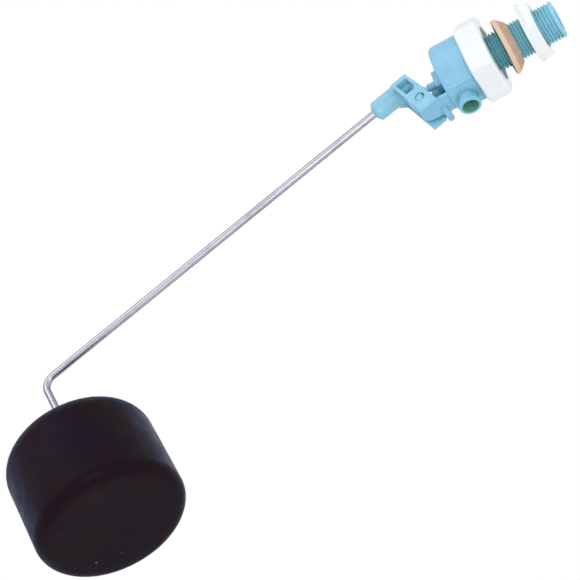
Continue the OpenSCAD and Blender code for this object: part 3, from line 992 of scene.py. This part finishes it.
class FLOATVALVE_OT_rod(Operator):
    """Draws the steel rod along the arm, round its bend and down into the float"""
    bl_idname = "float_valve.rod"
    bl_label = "Float Rod"

    def execute(self, context):
        s = sizes()
        turn = math.pi / 2 - s.lever_slope + FLOAT_LEAN
        back = s.bend_radius * math.tan(turn / 2)
        inner_end = s.arm_length - 2.3 * MM
        bm = bmesh.new()
        upright = Matrix.Translation((inner_end, 0, 0)) @ Matrix.Rotation(math.pi / 2, 4, "Y")
        bmesh.ops.create_circle(bm, cap_ends=False, radius=s.rod_radius, segments=40,
                                matrix=upright)
        edges = list(bm.edges)
        stretches = 24
        for _ in range(stretches):
            edges = grown_ring(bm, edges, Vector(((back - inner_end) / stretches, 0, 0)))
        tip = [v for e in edges for v in e.verts]
        spun = bmesh.ops.spin(bm, geom=list(set(tip)) + edges, angle=turn, steps=28,
                              cent=(back, 0, -s.bend_radius), axis=(0, -1, 0),
                              dvec=(0, 0, 0), use_merge=False, use_duplicate=False)
        edges = of_kind(spun["geom_last"], bmesh.types.BMEdge)
        down = Vector((-math.cos(turn), 0, -math.sin(turn)))
        inside_float, leg_stretches = 28 * MM, 8
        leg = s.leg_length + inside_float - back
        for _ in range(leg_stretches):
            edges = grown_ring(bm, edges, down * leg / leg_stretches)
        bmesh.ops.holes_fill(bm, edges=bm.edges, sides=0)
        caps = [f for f in bm.faces if len(f.verts) > 4]
        rims = {e for f in caps for e in f.edges}
        bevelled(bm, list(rims), 0.3 * MM, 2, clamp=False)
        outward(bm)
        slope = Matrix.Rotation(-s.lever_slope, 4, "Y")
        place = Matrix.Translation(PIVOT) @ slope @ Matrix.Translation(
            (-s.arm_length, 0, s.arm_rise))
        rod = as_object("bent_rod", placed(bm, place))
        finished(rod, "lever_arm", "rod_steel", drawn_steel(), "float_rod")
        return {"FINISHED"}


def grown_ring(bm, edges, step):
    """Extrudes a ring of edges by one step and gives the new ring."""
    grown = bmesh.ops.extrude_edge_only(bm, edges=edges)
    verts = of_kind(grown["geom"], bmesh.types.BMVert)
    bmesh.ops.translate(bm, vec=step, verts=verts)
    return [edge for edge in of_kind(grown["geom"], bmesh.types.BMEdge)
            if all(v in verts for v in edge.verts)]


def float_outline(grow=0.0):
    """The rounded upper and lower rims of the float's half section, pushed out by a growth."""
    s = sizes()
    top_r, base_r = s.float_top_round, s.float_base_round
    wide_top = s.float_radius - s.float_draft - top_r
    wide_base = s.float_radius - base_r
    top = [(wide_top + (top_r + grow) * math.sin(t), -top_r + (top_r + grow) * math.cos(t))
           for t in quarter(12)]
    base = [(wide_base + (base_r + grow) * math.cos(t),
             base_r - FLOAT_HEIGHT - (base_r + grow) * math.sin(t)) for t in quarter(9)]
    return top, base


class FLOATVALVE_OT_float(Operator):
    """Blows the float with its mould seam and the well that its bush sits in"""
    bl_idname = "float_valve.float"
    bl_label = "Float"

    def execute(self, context):
        s = sizes()
        top, base = float_outline()
        neck, well = 4.3 * MM, -14 * MM
        outline = [(0, well), (neck, well), (neck, -0.5 * MM), (neck + 0.5 * MM, 0),
                   (20 * MM, 0), *top, *base, (30 * MM, -FLOAT_HEIGHT),
                   (26 * MM, 0.25 * MM - FLOAT_HEIGHT), (0, 0.45 * MM - FLOAT_HEIGHT)]
        shell = turned_shell(outline, 160)
        seam_start, seam_end, seam_half = 8 * MM, 32 * MM, 0.16 * MM
        outer_top, outer_base = float_outline(0.08 * MM)
        outer = [(seam_start, -0.02 * MM), *outer_top, *outer_base,
                 (seam_end, -FLOAT_HEIGHT + 0.1 * MM)]
        inner_top, inner_base = float_outline(-0.8 * MM)
        inner = [(seam_start, -0.8 * MM), *inner_top, *inner_base,
                 (seam_end, 0.8 * MM - FLOAT_HEIGHT)]
        # the seam never stands above the float's flat top
        band = [(x, min(z, 0)) for x, z in outer + inner[::-1]]
        seams = []
        for side in (0, math.pi):
            ridge = plate_shell(band, -seam_half, seam_half)
            seams.append(placed(ridge, Matrix.Rotation(s.seam_turn - math.pi / 2 + side, 4, "Z")))
        whole = placed(gathered([shell, *seams]), FLOAT_PLACE)
        blown = creased(as_object("float_shell", whole), 40)
        finished(blown, "float", "float_plastic", float_plastic(), "float_body")
        return {"FINISHED"}


# ---- Pieces that keep the frame's own shape ----

class FLOATVALVE_OT_inner_pieces(Operator):
    """Gives the seals and mouldings inside the valve their finishes"""
    bl_idname = "float_valve.inner_pieces"
    bl_label = "Inner Pieces"

    def execute(self, context):
        rubber, plastic = black_rubber(), inner_plastic()
        finishes = {
            "tail_gasket": rubber, "carrier_oring": rubber, "diaphragm": rubber,
            "seat_carrier": plastic, "seat_nozzle": plastic, "inlet_strainer": plastic,
            "thrust_disc": plastic, "float_bush": plastic,
        }
        for name, material in finishes.items():
            node = frame["nodes"][name]
            node.data.materials.clear()
            node.data.materials.append(material)
        return {"FINISHED"}


# ---- Stage ----

VIEW_AIM = Vector((-0.18426, 0, -0.0782))
VIEW_DISTANCE = 1.3006
VIEW_AZIMUTH, VIEW_ELEVATION, VIEW_ROLL = 16.07, -38.41, 17.62
FOCAL_LENGTH = 155.17
FLOOR_RADIUS, FLOOR_MIDDLE, FLOOR_DROP = 6, -0.18, 0.05
AMBIENT = 0.8


class FLOATVALVE_OT_stage(Operator):
    """Lays a plain pale floor, hangs soft lights and sets the camera"""
    bl_idname = "float_valve.stage"
    bl_label = "Stage"

    def execute(self, context):
        scene = context.scene
        scene.view_settings.view_transform = "Standard"
        make_floor()
        make_world(scene)
        make_light("key", (-0.75, -1.3, 0.9), 1.1, 5)
        make_light("fill", (0.45, -1.1, -1.0), 1.0, 7)
        make_light("back", (-0.3, 1.4, 0.9), 1.2, 3)
        scene.camera = make_camera()
        return {"FINISHED"}


def view_back():
    """Unit vector from the object towards the camera."""
    a, e = math.radians(VIEW_AZIMUTH), math.radians(VIEW_ELEVATION)
    return Vector((math.sin(a) * math.cos(e), -math.cos(a) * math.cos(e), math.sin(e)))


def make_camera():
    """Camera that looks up at the valve from below, with the arm running down to the left."""
    data = bpy.data.cameras.new("camera")
    data.lens = FOCAL_LENGTH
    data.sensor_width = 36
    data.clip_start, data.clip_end = 0.05, 20
    camera = bpy.data.objects.new("camera", data)
    bpy.context.scene.collection.objects.link(camera)
    back = view_back()
    roll = Matrix.Rotation(math.radians(-VIEW_ROLL), 4, "Z")
    facing = back.to_track_quat("Z", "Y").to_matrix().to_4x4()
    camera.matrix_world = Matrix.Translation(VIEW_AIM + back * VIEW_DISTANCE) @ facing @ roll
    return camera


def make_floor():
    """A wide pale floor under the float that is clear from below."""
    bm = bmesh.new()
    bmesh.ops.create_circle(bm, cap_ends=True, radius=FLOOR_RADIUS, segments=96)
    middle = (FLOOR_MIDDLE, 0, CAD_BOX[0].z - FLOOR_DROP)
    bmesh.ops.translate(bm, vec=middle, verts=bm.verts)
    floor = as_object("floor", bm)
    base = tint("floor")
    pale = Finish("pale_floor", base, 0.85)
    pale.colour(pale.mix(pale.cloud(40, 3), shade_of(base, 0.97), base))
    clear = pale.node("ShaderNodeBsdfTransparent")
    side = pale.node("ShaderNodeNewGeometry")
    either = pale.node("ShaderNodeMixShader")
    pale.link(side.outputs["Backfacing"], either.inputs[0])
    pale.link(pale.shader.outputs[0], either.inputs[1])
    pale.link(clear.outputs[0], either.inputs[2])
    pale.link(either.outputs[0], pale.nodes["Material Output"].inputs["Surface"])
    floor.data.materials.append(pale.material)
    floor.visible_shadow = False
    floor.visible_diffuse = False
    floor.visible_glossy = False


def make_world(scene):
    """White surroundings that light the object less than they show."""
    world = bpy.data.worlds.new("studio")
    world.use_nodes = True
    tree = world.node_tree
    path = tree.nodes.new("ShaderNodeLightPath")
    strength = tree.nodes.new("ShaderNodeMapRange")
    strength.inputs["To Min"].default_value = AMBIENT
    strength.inputs["To Max"].default_value = 1.0
    background = tree.nodes["Background"]
    background.inputs["Color"].default_value = (1, 1, 1, 1)
    tree.links.new(path.outputs["Is Camera Ray"], strength.inputs["Value"])
    tree.links.new(strength.outputs["Result"], background.inputs["Strength"])
    scene.world = world


def make_light(name, position, size, power):
    """A square soft light aimed at the middle of the object."""
    data = bpy.data.lights.new(name, "AREA")
    data.shape = "SQUARE"
    data.size = size
    data.energy = power
    light = bpy.data.objects.new(name, data)
    bpy.context.scene.collection.objects.link(light)
    light.location = position
    middle = (CAD_BOX[0] + CAD_BOX[1]) / 2
    light.rotation_euler = (light.location - middle).to_track_quat("Z", "Y").to_euler()


# ---- Add-on ----

PIECES = (
    FLOATVALVE_OT_body, FLOATVALVE_OT_union_nut, FLOATVALVE_OT_lock_nut, FLOATVALVE_OT_tail,
    FLOATVALVE_OT_washer, FLOATVALVE_OT_plunger, FLOATVALVE_OT_lever, FLOATVALVE_OT_rod,
    FLOATVALVE_OT_float, FLOATVALVE_OT_inner_pieces, FLOATVALVE_OT_stage,
)


class FLOATVALVE_PT_panel(Panel):
    """Lists the pieces of the float valve"""
    bl_idname = "FLOATVALVE_PT_panel"
    bl_label = "Float Valve"
    bl_space_type = "VIEW_3D"
    bl_region_type = "UI"
    bl_category = "Float Valve"

    def draw(self, context):
        for piece in PIECES:
            self.layout.operator(piece.bl_idname)


CLASSES = (FLOATVALVE_PG_sizes, FLOATVALVE_PG_colours, *PIECES, FLOATVALVE_PT_panel)


def register():
    for item in CLASSES:
        bpy.utils.register_class(item)
    bpy.types.Scene.float_valve_sizes = PointerProperty(type=FLOATVALVE_PG_sizes)
    bpy.types.Scene.float_valve_colours = PointerProperty(type=FLOATVALVE_PG_colours)


def unregister():
    del bpy.types.Scene.float_valve_colours
    del bpy.types.Scene.float_valve_sizes
    for item in reversed(CLASSES):
        bpy.utils.unregister_class(item)


def main():
    register()
    bpy.ops.float_valve.stage()
    bpy.ops.float_valve.body()
    bpy.ops.float_valve.union_nut()
    bpy.ops.float_valve.lock_nut()
    bpy.ops.float_valve.tail()
    bpy.ops.float_valve.washer()
    bpy.ops.float_valve.plunger()
    bpy.ops.float_valve.lever()
    bpy.ops.float_valve.rod()
    bpy.ops.float_valve.float()
    bpy.ops.float_valve.inner_pieces()


if __name__ == "__main__":
    main()
